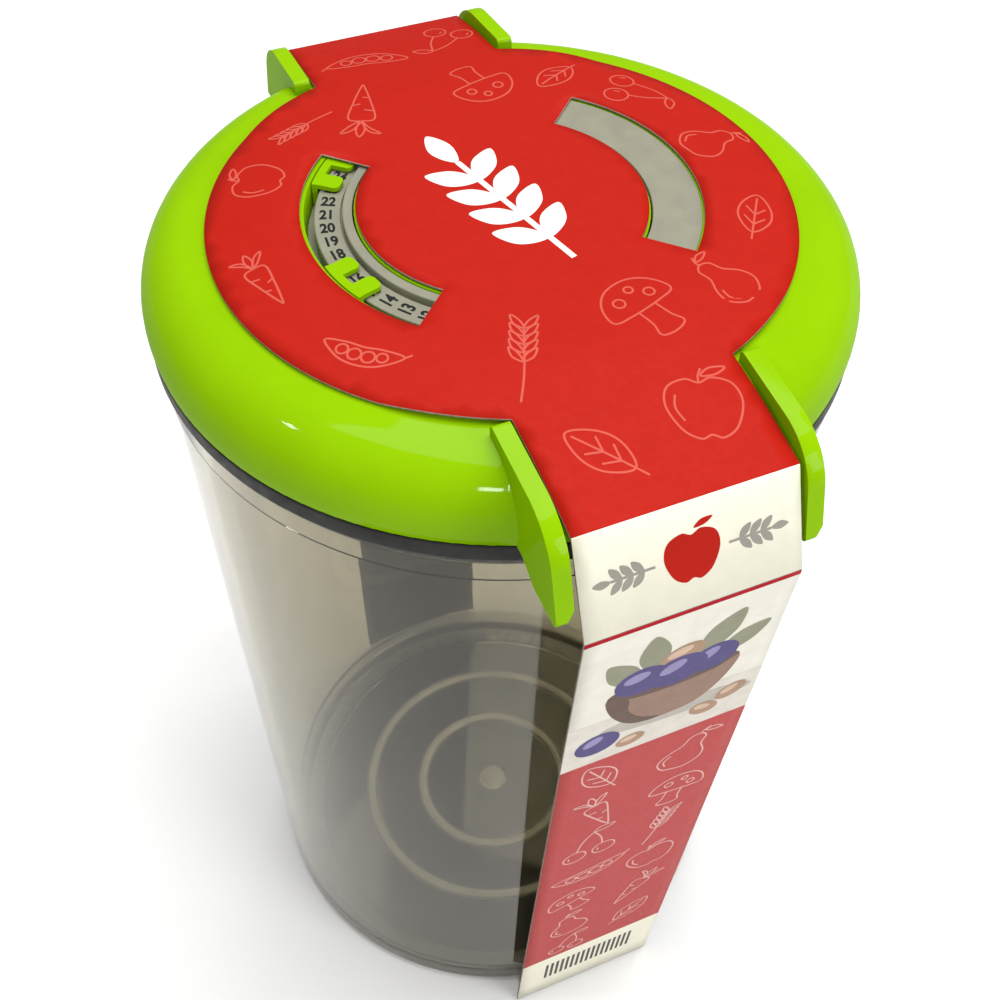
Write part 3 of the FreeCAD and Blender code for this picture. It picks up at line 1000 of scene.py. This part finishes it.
# The ornament on the ivory panel, in shares of half the strap
LABEL_FRUIT = 0.30
LABEL_SPRIG_FOOT = 0.33
LABEL_SPRIG_TIP = 0.72
LABEL_SPRIG_PAIRS = 3
LABEL_SPRIG_LEAF = 0.16
LABEL_SPRIG_STEM = 0.025


def sprig(bm, foot, tip, pairs, leaf, stem, lay, slot=0):
    """A filled sprig: a stem, pairs of leaves and one at the tip, with neighbours on different layers."""
    way = tip - foot
    heading = math.atan2(way.y, way.x)
    ribbon(bm, [foot, tip], False, stem, lay, slot=slot)
    shape = smooth_line(SPRIG_LEAF_SHARES, True)
    filled(bm, set_down(shape, tip, leaf, heading), lay, layer=1, slot=slot)
    for i in range(pairs):
        joint = foot + way * ((i + 1) / (pairs + 1))
        for lean in (-1, 1):
            line = set_down(shape, joint, leaf, heading + lean * LEAF_LEAN)
            filled(bm, line, lay, layer=2 + i % 2 * 2 + lean, slot=slot)


def make_disc_emblem(card, material):
    """The plain white sprig in the middle of the disc."""
    bm = bmesh.new()
    radius = card.disc_radius
    foot = DISC_SPRIG_FOOT * radius
    tip = DISC_SPRIG_TIP * radius
    leaf = DISC_SPRIG_LEAF * radius
    sprig(bm, foot, tip, DISC_SPRIG_PAIRS, leaf, DISC_SPRIG_STEM * radius, disc_lay(card))
    card_piece("disc_sprig", bm, [material], "sleeve", UP, card.ink_lift / INK_PART)


def make_label_mark(card, materials, side, name):
    """The plain ornament on the ivory short panel: a red fruit between two grey sprigs."""
    bm = bmesh.new()
    path = shoulder_path(card)
    middle = (fold_reach(card) + reaches(path)[-1]) / 2
    lay = strap_lay(card, Strap(path, side))
    width = card.half_width
    centre = Vector((0, -middle))
    for shares, _ in (APPLE_SHARES[0], APPLE_SHARES[2]):
        filled(bm, set_down(smooth_line(shares, True), centre, width * LABEL_FRUIT, turn=0), lay)
    for lean in (-1, 1):
        foot = centre + Vector((lean * width * LABEL_SPRIG_FOOT, 0))
        tip = centre + Vector((lean * width * LABEL_SPRIG_TIP, 0))
        leaf = width * LABEL_SPRIG_LEAF
        sprig(bm, foot, tip, LABEL_SPRIG_PAIRS, leaf, width * LABEL_SPRIG_STEM, lay, slot=1)
    card_piece(name, bm, materials, "sleeve", UP, card.ink_lift / INK_PART)


# The still life, in shares of half the strap from the picture zone's middle; each shape names its ink
STILL_LIFE_INKS = ("plum", "bloom", "nut", "shell", "bowl", "hollow", "table", "shadow", "foliage")
# Fruit: its height, the place, half sizes and further lean of its pale patch, and the patch's ink
FRUIT_SHAPES = {
    "plum": (0.86, (-0.22, 0.30), (0.48, 0.28), 25, "bloom"),
    "nut": (0.72, (-0.15, 0.22), (0.58, 0.30), 0, "shell"),
}


def oval_shares(across, up, wide, high, lean=0, count=16):
    """An oval, leaning by some degrees."""
    spin = Matrix.Rotation(math.radians(lean), 2)
    middle = Vector((across, up))
    turns = [math.tau * i / count for i in range(count)]
    return [tuple(middle + spin @ Vector((wide * math.cos(turn), high * math.sin(turn)))) for turn in turns]


def fruit_shares(ink, across, up, size, lean):
    """A round fruit with a paler patch on its lit side."""
    height, place, patch, tilt, pale_ink = FRUIT_SHAPES[ink]
    pale_across = across + size * place[0]
    pale_up = up + size * place[1]
    return [
        (oval_shares(across, up, size, size * height, lean), ink),
        (oval_shares(pale_across, pale_up, size * patch[0], size * patch[1], lean + tilt), pale_ink),
    ]


def twig_leaf_shares(across, up, size, lean):
    """One long leaf."""
    spin = Matrix.Rotation(math.radians(lean), 2)
    line = [tuple(Vector((across, up)) + spin @ (Vector(point) * size)) for point in SPRIG_LEAF_SHARES]
    return line, "foliage"


BOWL_SHARES = mirrored([(0, -0.10), (0.40, -0.06), (0.66, 0.06), (0.60, -0.24), (0.42, -0.52), (0.20, -0.64)])
BOWL_SHADE_SHARES = [(-0.66, 0.06), (-0.44, -0.05), (-0.40, -0.30), (-0.24, -0.52), (-0.04, -0.64),
                     (-0.20, -0.64), (-0.42, -0.52), (-0.60, -0.24)]
TABLE_SHARES = [(-1, -0.30), (1, -0.38), (1, -1.17), (-1, -1.17)]
STILL_LIFE_SHARES = [
    twig_leaf_shares(-0.34, 0.20, 0.62, 128),
    twig_leaf_shares(-0.20, 0.30, 0.66, 100),
    twig_leaf_shares(0.22, 0.30, 0.70, 62),
    twig_leaf_shares(0.40, 0.18, 0.60, 38),
    (oval_shares(0.14, -0.62, 0.80, 0.15, -3), "shadow"),
    (oval_shares(0, 0.07, 0.66, 0.18), "hollow"),
    *fruit_shares("nut", 0.02, 0.46, 0.22, 20),
    *fruit_shares("plum", -0.34, 0.22, 0.27, -12),
    *fruit_shares("plum", 0.36, 0.20, 0.26, 16),
    *fruit_shares("plum", 0.02, 0.18, 0.29, 4),
    (BOWL_SHARES, "bowl"),
    (BOWL_SHADE_SHARES, "hollow"),
    *fruit_shares("nut", 0.72, -0.66, 0.17, 30),
    *fruit_shares("nut", 0.46, -0.84, 0.16, -20),
    *fruit_shares("plum", -0.66, -0.78, 0.23, 10),
    *fruit_shares("nut", -0.30, -0.94, 0.15, 10),
]


def make_picture(card, inks, side, name, body):
    """A plain still life: a wooden bowl of fruit with leaves on a table, and more fruit beside it."""
    bm = bmesh.new()
    lay = strap_lay(card, Strap(panel_path(card), side))
    middle = (card.rule_end + card.picture_end) / 2
    half = card.half_width
    table = [Vector(point) for point in TABLE_SHARES]
    filled(bm, set_down(table, (0, -middle), half, turn=0), lay, slot=STILL_LIFE_INKS.index("table"))
    for layer, (shares, ink) in enumerate(STILL_LIFE_SHARES, start=1):
        line = set_down(smooth_line(shares, True), (0, -middle), half, turn=0)
        filled(bm, line, lay, layer, slot=STILL_LIFE_INKS.index(ink))
    card_piece(name, bm, inks, body, Vector((0, side, 0)), card.ink_lift / PICTURE_INK_PART)


# Bars: their ends as shares of the pale foot, half their row and their width as shares of half the strap
BAR_COUNT = 17
BAR_TOP = 0.22
BAR_BOTTOM = 0.62
BAR_ROW = 0.62
BAR_WIDTH = 0.04


def make_foot_bars(card, material, side, name, body):
    """A row of plain bars on the pale foot."""
    bm = bmesh.new()
    strap = Strap(panel_path(card), side)
    lay = strap_lay(card, strap)
    foot = reaches(strap.path)[-1] - card.red_end
    top = card.red_end + foot * BAR_TOP
    bottom = card.red_end + foot * BAR_BOTTOM
    for i in range(BAR_COUNT):
        across = card.half_width * BAR_ROW * (2 * i / (BAR_COUNT - 1) - 1)
        bar = [Vector((across, -bottom)), Vector((across, -top))]
        ribbon(bm, bar, False, card.half_width * BAR_WIDTH, lay)
    card_piece(name, bm, [material], body, Vector((0, side, 0)), card.ink_lift / INK_PART)


# Day numbers

def numeral(text, dial):
    """The mesh of one number, flat and centred."""
    curve = bpy.data.curves.new("numeral", "FONT")
    curve.body = text
    curve.align_x = "CENTER"
    curve.align_y = "CENTER"
    curve.size = dial.size
    curve.offset = dial.weight
    curve.resolution_u = NUMERAL_STEPS
    curve.extrude = dial.size / NUMERAL_DEPTH_PART
    holder = bpy.data.objects.new("numeral", curve)
    mesh = bpy.data.meshes.new_from_object(holder)
    bpy.data.objects.remove(holder)
    bpy.data.curves.remove(curve)
    return mesh


def number_place(number, dial):
    """The frame of one number: it reads towards the axis and its top points clockwise."""
    turn = dial.first - dial.pitch * (number - 1)
    spin = Matrix.Rotation(turn + math.pi, 4, "Z")
    level = dial.level + dial.size / NUMERAL_LIFT_PART
    place = Vector((math.cos(turn) * dial.reach, math.sin(turn) * dial.reach, level))
    return Matrix.Translation(place) @ spin @ Matrix.Diagonal((1, dial.tall, 1, 1))


# Gasket's soft edge

def squared(value):
    """Pushes a sine or cosine outwards, so that a circle turns into a rounded oblong."""
    return math.copysign(abs(value) ** BEAD_SQUARENESS, value)


def make_gasket_bead(finish):
    """The gasket's soft outer edge, which hangs a little over the container's collar."""
    inner = BODY_HIGH.x + (GASKET_HIGH.x - BODY_HIGH.x) * BEAD_INSET
    outer = GASKET_HIGH.x + finish.bead_reach
    low = BODY_HIGH.z - finish.bead_hang
    high = GASKET_HIGH.z - finish.bead_reach * BEAD_TUCK
    bm = bmesh.new()
    corners = []
    for i in range(BEAD_SIDES):
        turn = math.tau * i / BEAD_SIDES
        across = (inner + outer) / 2 + (outer - inner) / 2 * squared(math.cos(turn))
        up = (low + high) / 2 + (high - low) / 2 * squared(math.sin(turn))
        corners.append(bm.verts.new((across, 0, up)))
    edges = [bm.edges.new((corners[i - 1], corners[i])) for i in range(BEAD_SIDES)]
    bmesh.ops.spin(
        bm, geom=corners + edges, cent=(0, 0, 0), axis=UP, angle=math.tau, steps=BEAD_STEPS, use_merge=True)
    bmesh.ops.recalc_face_normals(bm, faces=bm.faces)
    for face in bm.faces:
        face.smooth = True
    finished_piece("gasket_bead", bm, [gasket_rubber(finish)], "lid")


# Operators for the pieces

class CANISTER_OT_body(bpy.types.Operator):
    """Finish the clear container"""

    bl_idname = "canister.body"
    bl_label = "Clear container"

    def execute(self, context):
        dress("container_body", clear_plastic(context.scene.canister_finish))
        return {"FINISHED"}


class CANISTER_OT_lid(bpy.types.Operator):
    """Finish the lid shell, the gasket with its soft edge, the liner and the valve"""

    bl_idname = "canister.lid"
    bl_label = "Lid"

    def execute(self, context):
        finish = context.scene.canister_finish
        dress("lid_shell", green_plastic(finish))
        dress("lid_gasket", gasket_rubber(finish))
        make_gasket_bead(finish)
        dress("lid_liner", liner_plastic(finish))
        dress("valve_plug", valve_silicone(finish))
        soften("lid_shell", finish.edge_softness)
        return {"FINISHED"}


class CANISTER_OT_dial(bpy.types.Operator):
    """Finish the date ring and the plate, and print the day numbers"""

    bl_idname = "canister.dial"
    bl_label = "Date dial"

    def execute(self, context):
        finish = context.scene.canister_finish
        dial = context.scene.canister_dial
        dress("date_ring", dial_grey("dial_grey", finish))
        dress("blank_plate", dial_grey("plate_grey", finish))
        soften("blank_plate", finish.edge_softness)
        bm = bmesh.new()
        for number in range(1, dial.count + 1):
            mesh = numeral(str(number), dial)
            mesh.transform(number_place(number, dial))
            bm.from_mesh(mesh)
            bpy.data.meshes.remove(mesh)
        finished_piece("day_numbers", bm, [dial_ink(finish)], "lid")
        return {"FINISHED"}


class CANISTER_OT_sliders(bpy.types.Operator):
    """Finish the two day sliders"""

    bl_idname = "canister.sliders"
    bl_label = "Day sliders"

    def execute(self, context):
        finish = context.scene.canister_finish
        material = green_plastic(finish)
        material.name = "slider_green"
        for node in ("sealed_day_slider", "use_by_slider"):
            dress(node, material)
            soften(node, finish.edge_softness)
        return {"FINISHED"}


class CANISTER_OT_sleeve(bpy.types.Operator):
    """Build the card sleeve with its folds and printed zones"""

    bl_idname = "canister.sleeve"
    bl_label = "Card sleeve"

    def execute(self, context):
        card = context.scene.canister_card
        board = grey_board(card)
        ivory = coated_card("card_ivory", card.ivory, wander=0.02)
        make_sleeve_top(card, [coated_card("card_red", card.red), ivory, board])
        zones = [
            coated_card("card_rule", card.rule),
            coated_card("card_picture", card.picture, wander=0.03),
            # The lower red material carries painted sheen on top of the print.
            coated_card("card_lower_red", card.lower_red),
            ivory,
            board,
        ]
        for side, word, body in STRAP_ENDS:
            make_panel(card, zones, side, "card_" + word, body, "sleeve_" + word)
        return {"FINISHED"}


class CANISTER_OT_prints(bpy.types.Operator):
    """Print the sleeve's plain drawings, sprig, ornament, still life and bars"""

    bl_idname = "canister.prints"
    bl_label = "Sleeve prints"

    def execute(self, context):
        card = context.scene.canister_card
        line = coated_card("ink_line", card.line)
        white = coated_card("ink_white", card.white, wander=0.02)
        bar = coated_card("ink_bar", card.bar)
        marks = [coated_card("ink_red", card.red), coated_card("ink_grey", card.grey)]
        panel_line = coated_card("ink_panel_line", card.panel_line)
        still_life = [coated_card("ink_" + ink, getattr(card, ink), wander=0.05) for ink in STILL_LIFE_INKS]
        make_disc_lines(card, line)
        make_disc_emblem(card, white)
        for side, word, body in STRAP_ENDS:
            make_label_mark(card, marks, side, word + "_ornament")
            make_panel_lines(card, panel_line, side, word + "_drawings", body)
            make_picture(card, still_life, side, word + "_still_life", body)
            make_foot_bars(card, bar, side, word + "_foot_bars", body)
        return {"FINISHED"}


# Stage: the sensor in millimetres, lengths in metres, and the lights' tones
SENSOR_WIDTH = 36
NEAR_CLIP = 0.01
FLOOR_HALF = 3
NEUTRAL = (1, 1, 1)
WARM = (1, 0.97, 0.92)
# Each light's name, place, height of its aim on the axis, size, power setting, share of that setting and tone
LIGHTS = (
    ("key", (0.45, 0.22, 2.40), 0.12, 2.1, "key_power", 1, NEUTRAL),
    ("fill", (0.55, -0.95, 0.60), 0.12, 0.5, "fill_power", 1, NEUTRAL),
    ("lamp", (-0.30, -0.63, 0.67), 0.15, 0.08, "lamp_power", 1, WARM),
    ("side_lamp", (-0.587, 0.074, 0.768), 0.15, 0.05, "lamp_power", 0.5, NEUTRAL),
)


def area_light(name, place, aim, size, watts, tone):
    """A square soft light that looks at a point."""
    light = bpy.data.lights.new(name, "AREA")
    light.size = size
    light.energy = watts
    light.color = tone
    lamp = bpy.data.objects.new(name, light)
    lamp.location = place
    lamp.rotation_euler = (Vector(aim) - Vector(place)).to_track_quat("-Z", "Y").to_euler()
    bpy.context.scene.collection.objects.link(lamp)


def photo_camera(stage):
    """The camera at the photograph's place and angle."""
    data = bpy.data.cameras.new("photo_camera")
    data.lens = stage.lens
    data.sensor_width = SENSOR_WIDTH
    data.clip_start = NEAR_CLIP
    camera = bpy.data.objects.new("photo_camera", data)
    across = -stage.distance * math.sin(stage.azimuth)
    ahead = -stage.distance * math.cos(stage.azimuth)
    turn = Matrix.Rotation(stage.heading, 4, "Z") @ Matrix.Rotation(math.pi / 2 - stage.pitch, 4, "X")
    lean = Matrix.Rotation(stage.roll, 4, "Z")
    camera.matrix_world = Matrix.Translation((across, ahead, stage.height)) @ turn @ lean
    bpy.context.scene.collection.objects.link(camera)
    bpy.context.scene.camera = camera


def pale_floor(stage):
    """A wide floor under the canister."""
    bm = bmesh.new()
    bmesh.ops.create_grid(bm, x_segments=2, y_segments=2, size=FLOOR_HALF)
    mesh = bpy.data.meshes.new("floor")
    bm.to_mesh(mesh)
    bm.free()
    mesh.materials.append(floor_paint(stage))
    floor = bpy.data.objects.new("floor", mesh)
    bpy.context.scene.collection.objects.link(floor)


def soft_sky(stage):
    """Even light from all round."""
    world = bpy.data.worlds.new("soft_sky")
    world.use_nodes = True
    background = world.node_tree.nodes["Background"]
    background.inputs["Color"].default_value = (*stage.sky, 1)
    background.inputs["Strength"].default_value = stage.sky_strength
    bpy.context.scene.world = world


class CANISTER_OT_stage(bpy.types.Operator):
    """Set up the floor, the lights and the camera"""

    bl_idname = "canister.stage"
    bl_label = "Stage"

    def execute(self, context):
        stage = context.scene.canister_stage
        context.scene.view_settings.view_transform = "Standard"
        pale_floor(stage)
        soft_sky(stage)
        for name, place, level, size, setting, share, tone in LIGHTS:
            area_light(name, place, (0, 0, level), size, getattr(stage, setting) * share, tone)
        photo_camera(stage)
        return {"FINISHED"}


# Panel and registration

class CANISTER_PT_sidebar(bpy.types.Panel):
    """Lists the canister's building steps"""

    bl_idname = "CANISTER_PT_sidebar"
    bl_label = "Vacuum canister"
    bl_space_type = "VIEW_3D"
    bl_region_type = "UI"
    bl_category = "Canister"

    def draw(self, context):
        for operator in OPERATORS:
            self.layout.operator(operator.bl_idname)


SETTINGS = {
    "canister_finish": CanisterFinish,
    "canister_dial": CanisterDial,
    "canister_card": CanisterCard,
    "canister_stage": CanisterStage,
}
OPERATORS = (
    CANISTER_OT_body,
    CANISTER_OT_lid,
    CANISTER_OT_dial,
    CANISTER_OT_sliders,
    CANISTER_OT_sleeve,
    CANISTER_OT_prints,
    CANISTER_OT_stage,
)
CLASSES = (*SETTINGS.values(), *OPERATORS, CANISTER_PT_sidebar)


def register():
    """Adds the classes and the scene's settings."""
    for cls in CLASSES:
        bpy.utils.register_class(cls)
    for name, group in SETTINGS.items():
        setattr(bpy.types.Scene, name, PointerProperty(type=group))


def unregister():
    """Takes the settings and the classes away again."""
    for name in SETTINGS:
        delattr(bpy.types.Scene, name)
    for cls in reversed(CLASSES):
        bpy.utils.unregister_class(cls)


def main():
    """Builds the canister and its stage."""
    register()
    bpy.ops.canister.body()
    bpy.ops.canister.lid()
    bpy.ops.canister.dial()
    bpy.ops.canister.sliders()
    bpy.ops.canister.sleeve()
    bpy.ops.canister.prints()
    bpy.ops.canister.stage()


if __name__ == "__main__":
    main()
